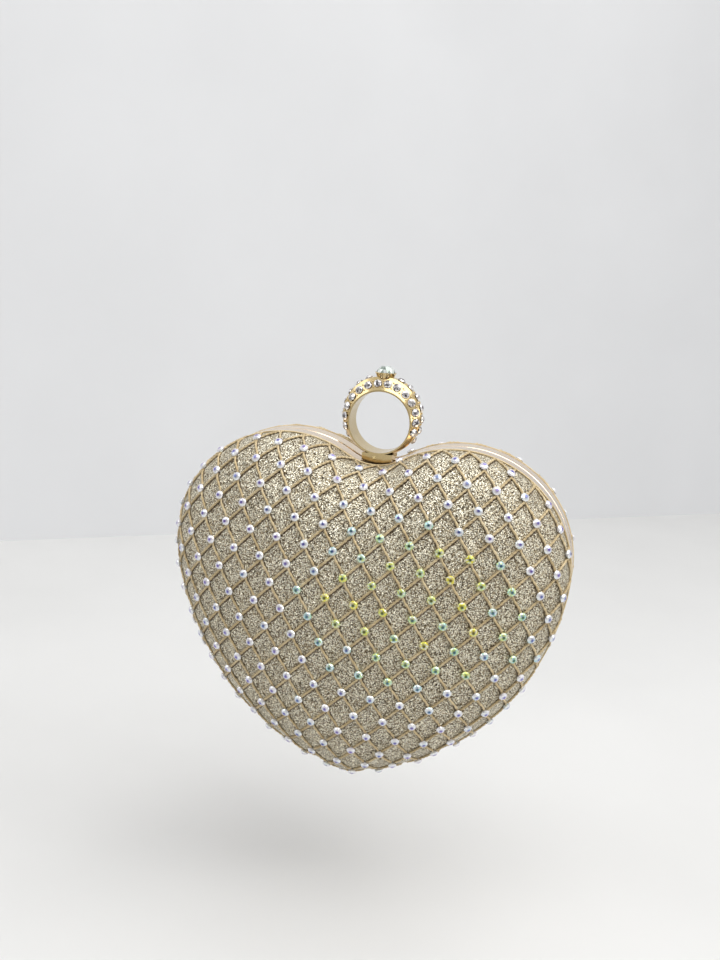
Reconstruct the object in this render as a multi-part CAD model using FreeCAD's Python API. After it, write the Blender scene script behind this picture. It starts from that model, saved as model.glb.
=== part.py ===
"""Heart shaped hard-case evening purse with a finger-ring clasp.

Millimetres. +Z is up, the front looks along -Y and +X is to the right seen from the front.
The origin is the centre of the finger ring's bore. The seam of the two halves is the plane y = 0.
"""
import FreeCAD, Part
import bisect
import math
import os

os.makedirs("parts", exist_ok=True)
V = FreeCAD.Vector

# Heart outline of the frames
HEART_WIDTH = 158.0
LOBE_OFFSET = 34.0          # lobe centres, left and right of the middle
SIDE_RADIUS = 99.0          # long arc from the lobe to the tip
SIDE_START_DEG = 6.0        # the side arc starts this far below the widest point
TIP_RADIUS = 17.0
NOTCH_RADIUS = 20.0

# Bulge of each half beyond its frame
DOME_DEPTH = 29.0
DOME_PLAN_POWER = 2.4       # how square the bulge is towards its edge
DOME_DEPTH_POWER = 2.1      # how flat the bulge is on its crown
CROWN_DROP = 58.0           # crown of the bulge below the notch
CROWN_CAP = 0.08            # small flat at the crown, as a share of the outline
NOTCH_FADE = 2.5            # how soon the valley under the notch fades towards the crown
DOME_SECTIONS = 8

# Half frames, L-section
FRAME_DEPTH = 8.35
SEAM_GAP = 0.3
FRAME_WALL = 1.2
FRAME_EDGE_RADIUS = 0.5     # rounded edge next to the cloth
SEAM_EDGE_RADIUS = 1.1      # rounded edge next to the seam
EDGE_STEPS = 3
FLANGE_WIDTH = 2.0
FLANGE_THICKNESS = 1.2

# Layers of each bowl, from the outside in
COVER_SETBACK = 0.3         # fabric edge inside the frame's outer edge
COVER_THICKNESS = 1.0
SHELL_THICKNESS = 2.0
SHELL_LIP = 2.0             # length of the shell's rim inside the frame
LINING_THICKNESS = 0.6
GLUE_GAP = 0.1

# Crystal net: two families of straight rows on the cloth before it is stretched
NET_RISE_PITCH = 10.2
NET_RISE_DEG = 52.8
NET_FALL_PITCH = 10.6
NET_FALL_DEG = -62.2
NET_SHIFT_X = -3.4          # nearest crossing, measured from the crown
NET_SHIFT_Z = 2.2
NET_ROWS = 14               # rows tried on each side of the crown
NET_EDGE_MARGIN = 2.6       # cloth left free along the frame
CRYSTAL_DIAMETER = 3.2
CRYSTAL_TABLE = 1.8
CRYSTAL_HEIGHT = 1.1
CRYSTAL_SIDES = 6
CRYSTAL_GAP = 0.15

# Finger ring
FINGER_BORE = 24.0
RING_WIDTH = 11.0
RING_CREST_WIDTH = 4.6
RING_FACE_RIM = 0.6         # wall at the two side faces
RING_TOP_WALL = 5.6
RING_BOTTOM_WALL = 1.2
RING_STANDOFF = 4.1         # bore to the notch of the frame
RING_STONE = 3.4
RING_STONE_TABLE = 1.9
RING_STONE_HEIGHT = 1.1
RING_STONE_PITCH = 4.4      # measured along the crest
RING_STONE_GAP = 0.06
RING_STONES_A_SIDE = 7      # stones of each row on either side of the top

# Large stone and its cup
SOLITAIRE_DIAMETER = 7.5
SOLITAIRE_TABLE = 4.4
SOLITAIRE_CROWN = 1.7
SOLITAIRE_SIDES = 12
COLLET_WALL = 0.5
COLLET_BASE = 6.2
COLLET_RISE = 1.5           # rim of the cup above the ring's crest
COLLET_GAP = 0.1

# Ring lever: foot, lug and pivot pin
FOOT_WIDTH = 12.0
FOOT_LENGTH = 10.4
FOOT_GAP = 0.25
FLIP_DEG = 25.0
PIVOT_Y = 2.4
PIVOT_LIFT = 1.35           # pivot above the notch
CLASP_PIN_RADIUS = 0.6
PIN_CLEARANCE = 0.05
LUG_WIDTH = 4.0
LUG_RADIUS = 1.0
LUG_WING = 5.5
SIDE_CLEARANCE = 0.3
LOBE_WIDTH = 1.4            # presser lobes of the foot
LOBE_THICKNESS = 1.2
LOBE_REACH = 3.0
SLOT_MARGIN = 0.3

# Leaf spring, catch plate and rivets
SPRING_WIDTH = 7.6
SPRING_THICKNESS = 0.5
SPRING_DROP = 1.4           # leaf below the frame's inner face
NOSE_Y = 2.8
NOSE_LENGTH = 0.6
CATCH_WIDTH = 14.0
CATCH_THICKNESS = 0.8
CATCH_DEPTH = 4.8
RIVET_RADIUS = 0.7
RIVET_HEAD_RADIUS = 1.0
RIVET_HEAD_HEIGHT = 0.4
RIVET_SEAT = 0.1
SPRING_RIVET_SLACK = 0.5    # the flat spring foot stands off the curved frame

# Tip hinge
HINGE_WIDTH = 14.0
HINGE_PIN_RADIUS = 0.8
BARREL_RADIUS = 1.6
HINGE_DROP = 0.5            # hinge axis below the tip of the frames
KNUCKLE_GAP = 0.2
LEAF_THICKNESS = 0.8
LEAF_DEPTH = 5.6
LEAF_GAP = 0.1
PIN_HEAD_RADIUS = 1.2
PIN_HEAD_LENGTH = 0.4
HINGE_RIVET_X = 4.0
HINGE_RIVET_Y = 4.2

# Outline centres that follow from the sizes above
LOBE_RADIUS = HEART_WIDTH / 2 - LOBE_OFFSET
NOTCH_Z = -(FINGER_BORE / 2 + RING_STANDOFF)
NOTCH_CENTRE_Z = NOTCH_Z + NOTCH_RADIUS
LOBE_Z = NOTCH_CENTRE_Z - math.sqrt((LOBE_RADIUS + NOTCH_RADIUS) ** 2 - LOBE_OFFSET ** 2)
SIDE_START = math.radians(SIDE_START_DEG)
SIDE_X = LOBE_OFFSET - (SIDE_RADIUS - LOBE_RADIUS) * math.cos(SIDE_START)
SIDE_Z = LOBE_Z + (SIDE_RADIUS - LOBE_RADIUS) * math.sin(SIDE_START)
TIP_CENTRE_Z = SIDE_Z - math.sqrt((SIDE_RADIUS - TIP_RADIUS) ** 2 - SIDE_X ** 2)
TIP_Z = TIP_CENTRE_Z - TIP_RADIUS
CROWN_Z = NOTCH_Z - CROWN_DROP
TIP_ANGLE = math.atan2(TIP_CENTRE_Z - SIDE_Z, -SIDE_X)

FRAME_START = SEAM_GAP / 2
FRAME_END = FRAME_START + FRAME_DEPTH
DOME_START = FRAME_END + GLUE_GAP
FRAME_INNER_Z = NOTCH_Z - FRAME_WALL
PIVOT_Z = NOTCH_Z + PIVOT_LIFT
HINGE_Z = TIP_Z - HINGE_DROP
SPRING_TOP = FRAME_INNER_Z - SPRING_DROP
FAR = 40.0                  # longer than any small piece
PAST = 1.0                  # how far a cut runs past the face that it opens


# Basic shapes
def arc(centre_x, centre_z, radius, start, end, y, scale):
    """Arc in a plane of constant y, drawn together about the crown by scale."""
    points = []
    for angle in (start, (start + end) / 2, end):
        x = centre_x + radius * math.cos(angle)
        z = centre_z + radius * math.sin(angle)
        points.append(V(scale * x, y, CROWN_Z + scale * (z - CROWN_Z)))
    return Part.Arc(*points).toShape()


def heart_wire(inset, y, scale=1.0):
    """Closed heart outline of six tangent arcs, offset inwards by inset.

    Where the outline is drawn together its notch opens out, so the valley fades to the crown.
    """
    half, full = math.pi / 2, math.pi
    notch_radius = NOTCH_RADIUS / scale ** NOTCH_FADE
    notch_rise = math.sqrt((LOBE_RADIUS + notch_radius) ** 2 - LOBE_OFFSET ** 2)
    notch_turn = math.atan2(LOBE_OFFSET, notch_rise)
    arcs = (
        (0, LOBE_Z + notch_rise, notch_radius + inset, -half - notch_turn, -half + notch_turn),
        (LOBE_OFFSET, LOBE_Z, LOBE_RADIUS - inset, half + notch_turn, -SIDE_START),
        (SIDE_X, SIDE_Z, SIDE_RADIUS - inset, -SIDE_START, TIP_ANGLE),
        (0, TIP_CENTRE_Z, TIP_RADIUS - inset, TIP_ANGLE, -full - TIP_ANGLE),
        (-SIDE_X, SIDE_Z, SIDE_RADIUS - inset, -full - TIP_ANGLE, -full + SIDE_START),
        (-LOBE_OFFSET, LOBE_Z, LOBE_RADIUS - inset, -full + SIDE_START, -3 * half - notch_turn),
    )
    return Part.Wire([arc(*values, y, scale) for values in arcs])


def heart_plate(inset, y_start, y_end):
    return Part.Face(heart_wire(inset, y_start)).extrude(V(0, y_end - y_start, 0))


def box(x0, x1, y0, y1, z0, z1):
    return Part.makeBox(x1 - x0, y1 - y0, z1 - z0, V(x0, y0, z0))


def rod(radius, start, end):
    axis = end - start
    return Part.makeCylinder(radius, axis.Length, start, axis)


def x_rod(radius, x0, x1, y, z):
    return rod(radius, V(x0, y, z), V(x1, y, z))


def y_rod(radius, y0, y1, z):
    return rod(radius, V(0, y0, z), V(0, y1, z))


def polygon(radius, sides, z):
    turn = 2 * math.pi / sides
    points = [V(radius * math.cos(k * turn), radius * math.sin(k * turn), z) for k in range(sides)]
    return Part.makePolygon(points + points[:1])


def yz_prism(points, x0, x1):
    """Prism along X over a polygon given as (y, z) pairs."""
    corners = [V(x0, y, z) for y, z in points]
    return Part.Face(Part.makePolygon(corners + corners[:1])).extrude(V(x1 - x0, 0, 0))


def to_front(shape):
    """Mirror of a piece of the back half."""
    return shape.mirror(V(0, 0, 0), V(0, 1, 0))


def stand_on(shape, point, normal):
    """Copy of a shape made on +Z, set on a point with +Z along the normal."""
    placed = shape.copy()
    placed.Placement = FreeCAD.Placement(point, FreeCAD.Rotation(V(0, 0, 1), normal))
    return placed


def flat_back(diameter, table, height, sides):
    """Flat-back crystal on the plane z = 0."""
    return Part.makeLoft([polygon(diameter / 2, sides, 0), polygon(table / 2, sides, height)], True, True)


# Bulged layers
def dome_level(angle):
    """Share of the outline and share of the depth at one angle of the bulge's section."""
    return (math.sin(angle) ** (2 / DOME_PLAN_POWER), math.cos(angle) ** (2 / DOME_DEPTH_POWER))


CAP_ANGLE = math.asin(CROWN_CAP ** (DOME_PLAN_POWER / 2))
LOFT_DEGREE = 3


def dome(inset, depth):
    """Solid bulge on the back of the frame, lofted through outlines that shrink to the crown."""
    angles = [math.pi / 2 * (1 - k / DOME_SECTIONS) for k in range(DOME_SECTIONS)]
    wires = []
    for angle in angles + [CAP_ANGLE]:
        share, rise = dome_level(angle)
        wires.append(heart_wire(inset, DOME_START + depth * rise, share))
    return Part.makeLoft(wires, True, False, False, LOFT_DEGREE)


def bowl(inset, depth, thickness):
    return dome(inset, depth).cut(dome(inset + thickness, depth - thickness))


SHELL_INSET = FRAME_WALL + GLUE_GAP
SHELL_DEPTH = DOME_DEPTH - COVER_THICKNESS - GLUE_GAP
LINING_INSET = SHELL_INSET + SHELL_THICKNESS + GLUE_GAP
LINING_DEPTH = SHELL_DEPTH - SHELL_THICKNESS - GLUE_GAP


def shell_lip():
    """Rim of the bowl that is glued into the frame."""
    start = FRAME_END - SHELL_LIP
    lip = heart_plate(SHELL_INSET, start, DOME_START)
    return lip.cut(heart_plate(SHELL_INSET + SHELL_THICKNESS, start, DOME_START))


def make_shell(lip):
    return bowl(SHELL_INSET, SHELL_DEPTH, SHELL_THICKNESS).fuse(lip).removeSplitter()


# Net of crystals
MERIDIAN_STEPS = 48
RIM_SAMPLES = 360
SMALL_TURN = 0.02           # radians, for the slope across a meridian


def level_outline(k):
    """Depth of one level of the cover, and its reach from the crown by direction."""
    share, rise = dome_level(math.pi / 2 * k / MERIDIAN_STEPS)
    y = DOME_START + DOME_DEPTH * rise
    points = heart_wire(COVER_SETBACK, y, share).discretize(RIM_SAMPLES)
    return y, sorted((math.atan2(p.z - CROWN_Z, p.x), math.hypot(p.x, p.z - CROWN_Z)) for p in points)


COVER_LEVELS = [level_outline(k) for k in range(1, MERIDIAN_STEPS + 1)]
COVER_CROWN = V(0, DOME_START + DOME_DEPTH, CROWN_Z)


def cover_point(direction, level):
    """Point of the cover on one level, in one direction from the crown."""
    y, reaches = level
    after = bisect.bisect(reaches, (direction,)) % len(reaches)
    angle0, reach0 = reaches[after - 1]
    angle1, reach1 = reaches[after]
    part = ((direction - angle0) % (2 * math.pi)) / max((angle1 - angle0) % (2 * math.pi), 1e-9)
    reach = reach0 + (reach1 - reach0) * part
    return V(reach * math.cos(direction), y, CROWN_Z + reach * math.sin(direction))


def cloth_to_dome(u, v):
    """Point and outward normal on the cover for a place on the flat cloth, or None past the edge."""
    direction = math.atan2(v, u)
    target = math.hypot(u, v)
    line = [COVER_CROWN] + [cover_point(direction, level) for level in COVER_LEVELS]
    steps = [(end - start).Length for start, end in zip(line, line[1:])]
    if target > sum(steps) - NET_EDGE_MARGIN:
        return None
    k = 0
    while target > steps[k]:
        target -= steps[k]
        k += 1
    along = line[k + 1] - line[k]
    point = line[k] + along * (target / steps[k])
    level = COVER_LEVELS[k]
    across = cover_point(direction + SMALL_TURN, level) - cover_point(direction - SMALL_TURN, level)
    normal = across.cross(along).normalize()
    if normal.y < 0:
        normal = normal * -1
    return point, normal


def net_crystals():
    """Crystals of the back half, one at each crossing of the net."""
    stone = flat_back(CRYSTAL_DIAMETER, CRYSTAL_TABLE, CRYSTAL_HEIGHT, CRYSTAL_SIDES)
    rise, fall = math.radians(NET_RISE_DEG), math.radians(NET_FALL_DEG)
    stones = []
    for i in range(-NET_ROWS, NET_ROWS + 1):
        for j in range(-NET_ROWS, NET_ROWS + 1):
            u = NET_SHIFT_X + i * NET_RISE_PITCH * math.cos(rise) + j * NET_FALL_PITCH * math.cos(fall)
            v = NET_SHIFT_Z + i * NET_RISE_PITCH * math.sin(rise) + j * NET_FALL_PITCH * math.sin(fall)
            place = cloth_to_dome(u, v)
            if place:
                point, normal = place
                stones.append(stand_on(stone, point + normal * CRYSTAL_GAP, normal))
    return Part.makeCompound(stones)


# Rivets, flush outside and headed inside
RIVET_HOLE_REACH = FRAME_WALL + FLANGE_WIDTH + SPRING_DROP


def rivet(point, outward, grip):
    inner = point - outward * grip
    shank = rod(RIVET_RADIUS, inner, point - outward * RIVET_SEAT)
    head = rod(RIVET_HEAD_RADIUS, inner - outward * RIVET_HEAD_HEIGHT, inner)
    return shank.fuse(head).removeSplitter()


def rivet_hole(point, outward):
    reach = outward * RIVET_HOLE_REACH
    return rod(RIVET_RADIUS + PIN_CLEARANCE, point - reach, point + reach)


def rivet_places(x, y, centre_z, radius, side):
    """Mirrored pair of points on a round stretch of the frame, with their outward normals.

    side is 1 where the material lies inside the arc (tip) and -1 where it lies outside (notch).
    """
    places = []
    for sign in (-1, 1):
        spoke = V(sign * x, 0, -math.sqrt(radius ** 2 - x ** 2))
        outward = V(spoke).normalize() * side
        places.append((V(0, y, centre_z) + spoke, outward))
    return places


SPRING_RIVET_X = SPRING_WIDTH / 2 - RIVET_HEAD_RADIUS - SLOT_MARGIN
SPRING_RIVET_Y = FRAME_END - FRAME_EDGE_RADIUS - RIVET_HEAD_RADIUS
CATCH_RIVET_X = CATCH_WIDTH / 2 - RIVET_HEAD_RADIUS - SLOT_MARGIN
CATCH_START = FRAME_START + FLANGE_THICKNESS + GLUE_GAP
CATCH_RIVET_Y = CATCH_START + CATCH_DEPTH / 2
SPRING_RIVETS = rivet_places(SPRING_RIVET_X, SPRING_RIVET_Y, NOTCH_CENTRE_Z, NOTCH_RADIUS, -1)
CATCH_RIVETS = rivet_places(CATCH_RIVET_X, -CATCH_RIVET_Y, NOTCH_CENTRE_Z, NOTCH_RADIUS, -1)
BACK_HINGE_RIVETS = rivet_places(HINGE_RIVET_X, HINGE_RIVET_Y, TIP_CENTRE_Z, TIP_RADIUS, 1)
FRONT_HINGE_RIVETS = rivet_places(HINGE_RIVET_X, -HINGE_RIVET_Y, TIP_CENTRE_Z, TIP_RADIUS, 1)
SPRING_GRIP = FRAME_WALL + SPRING_THICKNESS + SPRING_RIVET_SLACK
CATCH_GRIP = FRAME_WALL + GLUE_GAP + CATCH_THICKNESS + RIVET_SEAT
HINGE_GRIP = FRAME_WALL + LEAF_GAP + LEAF_THICKNESS + RIVET_SEAT


def rivets(places, grip):
    return Part.makeCompound([rivet(point, outward, grip) for point, outward in places])


def drill(shape, places):
    for point, outward in places:
        shape = shape.cut(rivet_hole(point, outward))
    return shape


# Half frames
LOBE_OUTER = LUG_WIDTH / 2 + SIDE_CLEARANCE + LOBE_WIDTH
SLOT_HALF_WIDTH = LOBE_OUTER + SLOT_MARGIN
SLOT_START = FRAME_START + FLANGE_THICKNESS
SLOT_END = FOOT_LENGTH / 2 + SLOT_MARGIN
HINGE_ROOM = HINGE_WIDTH / 2 + PIN_HEAD_LENGTH + SIDE_CLEARANCE


def edge_levels(radius, y, inward):
    """Inset and y at the steps of a rounded edge, from the end face at y. inward is 1 or -1 along y."""
    turns = [math.pi / 2 * k / EDGE_STEPS for k in range(EDGE_STEPS + 1)]
    return [(radius * (1 - math.sin(turn)), y + inward * radius * (1 - math.cos(turn))) for turn in turns]


def frame_blank():
    """Heart band with rounded edges and a seam flange, on the back side of the seam."""
    levels = edge_levels(SEAM_EDGE_RADIUS, FRAME_START, 1)
    levels += reversed(edge_levels(FRAME_EDGE_RADIUS, FRAME_END, -1))
    band = Part.makeLoft([heart_wire(inset, y) for inset, y in levels], True, True)
    flange_end = FRAME_START + FLANGE_THICKNESS
    band = band.cut(heart_plate(FRAME_WALL, flange_end, FRAME_END + PAST))
    band = band.cut(heart_plate(FRAME_WALL + FLANGE_WIDTH, FRAME_START - PAST, flange_end))
    # room for the hinge barrel at the tip and for the leaf spring at the notch
    barrel_room = BARREL_RADIUS + SIDE_CLEARANCE
    band = band.cut(box(-HINGE_ROOM, HINGE_ROOM, 0, barrel_room, TIP_Z - PAST, TIP_CENTRE_Z))
    spring_room = SPRING_WIDTH / 2 + 2 * SIDE_CLEARANCE
    spring_roof = SPRING_TOP + SIDE_CLEARANCE
    return band.cut(box(-spring_room, spring_room, 0, flange_end, spring_roof - FAR, spring_roof))


def make_back_frame(blank):
    slot = box(-SLOT_HALF_WIDTH, SLOT_HALF_WIDTH, SLOT_START, SLOT_END, FRAME_INNER_Z - PAST, 0)
    frame = blank.cut(slot)
    return drill(drill(frame, SPRING_RIVETS), BACK_HINGE_RIVETS)


def make_front_frame(blank):
    return drill(drill(to_front(blank), CATCH_RIVETS), FRONT_HINGE_RIVETS)


# Tip hinge
KNUCKLE_EDGE = HINGE_WIDTH / 6


def hinge_leaf(knuckles):
    """Leaf on the inside of the back frame, with barrels at the given spans of x."""
    inner = TIP_RADIUS - FRAME_WALL - LEAF_GAP
    web_start = FRAME_START + LEAF_GAP
    strip = y_rod(inner, web_start, LEAF_DEPTH, TIP_CENTRE_Z)
    hollow = y_rod(inner - LEAF_THICKNESS, web_start - PAST, LEAF_DEPTH + PAST, TIP_CENTRE_Z)
    reach = HINGE_WIDTH / 2
    leaf = strip.cut(hollow).common(box(-reach, reach, 0, LEAF_DEPTH, TIP_Z, TIP_CENTRE_Z))
    for x0, x1 in knuckles:
        web = box(x0, x1, web_start, web_start + LEAF_THICKNESS, HINGE_Z, TIP_CENTRE_Z)
        barrel = x_rod(BARREL_RADIUS, x0, x1, 0, HINGE_Z)
        leaf = leaf.fuse(web.cut(hollow)).fuse(barrel)
    bore = x_rod(HINGE_PIN_RADIUS + PIN_CLEARANCE, -FAR, FAR, 0, HINGE_Z)
    return leaf.removeSplitter().cut(bore)


def make_hinge_pin():
    reach = HINGE_WIDTH / 2 + PIN_CLEARANCE
    pin = x_rod(HINGE_PIN_RADIUS, -reach, reach, 0, HINGE_Z)
    for sign in (-1, 1):
        ends = sorted((sign * reach, sign * (reach + PIN_HEAD_LENGTH)))
        pin = pin.fuse(x_rod(PIN_HEAD_RADIUS, ends[0], ends[1], 0, HINGE_Z))
    return pin.removeSplitter()


# Ring lever
CREST_RADIUS = (FINGER_BORE + RING_TOP_WALL + RING_BOTTOM_WALL) / 2
CREST_Z = (RING_TOP_WALL - RING_BOTTOM_WALL) / 2
FACE_RADIUS = FINGER_BORE / 2 + RING_FACE_RIM


def ring_blank():
    """Ring before boring: bevelled sides, crest circle set higher than the bore."""
    levels = (
        (-RING_WIDTH / 2, FACE_RADIUS, 0),
        (-RING_CREST_WIDTH / 2, CREST_RADIUS, CREST_Z),
        (RING_CREST_WIDTH / 2, CREST_RADIUS, CREST_Z),
        (RING_WIDTH / 2, FACE_RADIUS, 0),
    )
    wires = [Part.Wire(Part.makeCircle(radius, V(0, y, z), V(0, 1, 0))) for y, radius, z in levels]
    return Part.makeLoft(wires, True, True)


def notch_room():
    """Space inside the round of the notch, FOOT_GAP clear of the frames."""
    return y_rod(NOTCH_RADIUS - FOOT_GAP, -FAR, FAR, NOTCH_CENTRE_Z)


def make_ring_foot(blank):
    """Foot that rocks on the lug, relieved behind the pivot, with lobes that press the spring."""
    reach, half = FOOT_WIDTH / 2, FOOT_LENGTH / 2
    block = box(-reach, reach, -half, half, NOTCH_Z - PAST, -FINGER_BORE / 2 - RING_FACE_RIM / 2)
    tilted = notch_room()
    tilted.rotate(V(0, PIVOT_Y, PIVOT_Z), V(1, 0, 0), FLIP_DEG)
    foot = block.common(notch_room()).common(tilted).cut(blank)
    slot_half = LUG_WIDTH / 2 + SIDE_CLEARANCE
    slot_front = PIVOT_Y - LUG_RADIUS - SIDE_CLEARANCE
    foot = foot.cut(box(-slot_half, slot_half, slot_front, half + PAST, NOTCH_Z - PAST, 0))
    lobe_end = half
    lobe_start = lobe_end - LOBE_THICKNESS
    lobe_low = PIVOT_Z - LOBE_REACH + LOBE_THICKNESS / 2
    for sign in (-1, 1):
        x0, x1 = sorted((sign * slot_half, sign * LOBE_OUTER))
        lobe = box(x0, x1, lobe_start, lobe_end, lobe_low, PIVOT_Z)
        nose = x_rod(LOBE_THICKNESS / 2, x0, x1, (lobe_start + lobe_end) / 2, lobe_low)
        foot = foot.fuse(lobe.fuse(nose))
    bore = x_rod(CLASP_PIN_RADIUS + PIN_CLEARANCE, -FAR, FAR, PIVOT_Y, PIVOT_Z)
    return foot.removeSplitter().cut(bore).cut(blank)


def make_clasp_lug():
    """Lug behind the seam flange, with wings under the frame and an eye for the pivot pin."""
    half = LUG_WIDTH / 2
    start = SLOT_START + PIN_CLEARANCE
    low = SPRING_TOP + SIDE_CLEARANCE / 2
    stem = box(-half, half, start, PIVOT_Y + LUG_RADIUS, low, PIVOT_Z)
    wing_end = PIVOT_Y - SIDE_CLEARANCE
    wings = box(-LUG_WING, LUG_WING, start, wing_end, low, FRAME_INNER_Z - GLUE_GAP)
    eye = x_rod(LUG_RADIUS, -half, half, PIVOT_Y, PIVOT_Z)
    bore = x_rod(CLASP_PIN_RADIUS + PIN_CLEARANCE, -FAR, FAR, PIVOT_Y, PIVOT_Z)
    return stem.fuse(wings).fuse(eye).removeSplitter().cut(bore)


def make_latch_spring():
    """Bent leaf: riveted behind the slot, dipping under the lug, with an upturned latch nose."""
    foot_end = FRAME_END - GLUE_GAP
    foot_start = SLOT_END + SLOT_MARGIN
    foot_top = FRAME_INNER_Z - GLUE_GAP
    bend = PIVOT_Y + LUG_RADIUS + SIDE_CLEARANCE
    nose_top = FRAME_INNER_Z - 2 * GLUE_GAP
    low = SPRING_TOP - SPRING_THICKNESS
    points = (
        (foot_end, foot_top),
        (foot_start, foot_top),
        (bend, SPRING_TOP),
        (-NOSE_Y, SPRING_TOP),
        (-NOSE_Y, nose_top),
        (-NOSE_Y - NOSE_LENGTH, SPRING_TOP + SPRING_THICKNESS),
        (-NOSE_Y - NOSE_LENGTH, low),
        (bend, low),
        (foot_start, foot_top - SPRING_THICKNESS),
        (foot_end, foot_top - SPRING_THICKNESS),
    )
    return drill(yz_prism(points, -SPRING_WIDTH / 2, SPRING_WIDTH / 2), SPRING_RIVETS)


def make_catch_plate():
    """Curved plate under the front frame with a window for the latch nose."""
    inner = NOTCH_RADIUS + FRAME_WALL + GLUE_GAP
    end = CATCH_START + CATCH_DEPTH
    plate = y_rod(inner + CATCH_THICKNESS, -end, -CATCH_START, NOTCH_CENTRE_Z)
    plate = plate.cut(y_rod(inner, -end - PAST, -CATCH_START + PAST, NOTCH_CENTRE_Z))
    reach = CATCH_WIDTH / 2
    plate = plate.common(box(-reach, reach, -end, -CATCH_START, NOTCH_Z - FAR, NOTCH_Z))
    window = SPRING_WIDTH / 2 + SIDE_CLEARANCE
    gap = SIDE_CLEARANCE / 2
    plate = plate.cut(box(-window, window, -NOSE_Y - NOSE_LENGTH - SIDE_CLEARANCE, -NOSE_Y + gap,
                          NOTCH_Z - FAR, NOTCH_Z))
    return drill(plate, CATCH_RIVETS)


# Stones of the ring
def row_turns(kind):
    """Angles of a row's stones from the top of the ring. The crest row leaves room for the cup."""
    step = RING_STONE_PITCH / CREST_RADIUS
    clear = (SOLITAIRE_DIAMETER / 2 + COLLET_WALL + RING_STONE / 2) / CREST_RADIUS
    first = math.ceil(clear / step - 0.5) if kind == "crest" else 0
    turns = [(first + k + 0.5) * step for k in range(RING_STONES_A_SIDE)]
    return [-turn for turn in turns] + turns


def ring_row(kind):
    """Row of small crystals over the top of the ring: on a bevel (front, back) or on the crest."""
    stone = flat_back(RING_STONE, RING_STONE_TABLE, RING_STONE_HEIGHT, CRYSTAL_SIDES)
    stones = []
    for turn in row_turns(kind):
        angle = math.pi / 2 + turn
        spoke = V(math.cos(angle), 0, math.sin(angle))
        crest = V(0, 0, CREST_Z) + spoke * CREST_RADIUS
        if kind == "crest":
            stones.append(stand_on(stone, crest + spoke * RING_STONE_GAP, spoke))
            continue
        side = -1 if kind == "front" else 1
        low = spoke * FACE_RADIUS + V(0, side * RING_WIDTH / 2, 0)
        high = crest + V(0, side * RING_CREST_WIDTH / 2, 0)
        slope = high - low
        tangent = V(-spoke.z, 0, spoke.x)
        normal = slope.cross(tangent).normalize()
        if normal.dot(V(0, side, 0)) < 0:
            normal = normal * -1
        stones.append(stand_on(stone, low + slope * 0.5 + normal * RING_STONE_GAP, normal))
    return Part.makeCompound(stones)


COLLET_TOP = CREST_Z + CREST_RADIUS + COLLET_RISE
SOLITAIRE_PAVILION = COLLET_RISE - 2 * COLLET_GAP


def make_solitaire():
    """Round faceted stone: pavilion, girdle and table."""
    radius = SOLITAIRE_DIAMETER / 2
    wires = (
        polygon(COLLET_WALL, SOLITAIRE_SIDES, COLLET_TOP - SOLITAIRE_PAVILION),
        polygon(radius, SOLITAIRE_SIDES, COLLET_TOP),
        polygon(SOLITAIRE_TABLE / 2, SOLITAIRE_SIDES, COLLET_TOP + SOLITAIRE_CROWN),
    )
    return Part.makeLoft(list(wires), True, True)


def make_collet(blank):
    """Flared cup, saddled on the crest of the ring and hollowed for the stone's pavilion."""
    base_z = CREST_Z + CREST_RADIUS - COLLET_RISE / 2
    radius = SOLITAIRE_DIAMETER / 2
    cup = Part.makeCone(COLLET_BASE / 2, radius + COLLET_WALL, COLLET_TOP - base_z, V(0, 0, base_z))
    hollow = Part.makeCone(COLLET_WALL, radius + COLLET_GAP, SOLITAIRE_PAVILION,
                           V(0, 0, COLLET_TOP - SOLITAIRE_PAVILION))
    floor = Part.makeCylinder(COLLET_WALL, COLLET_GAP, V(0, 0, COLLET_TOP - SOLITAIRE_PAVILION - COLLET_GAP))
    return cup.cut(hollow).cut(floor).cut(blank)


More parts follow.
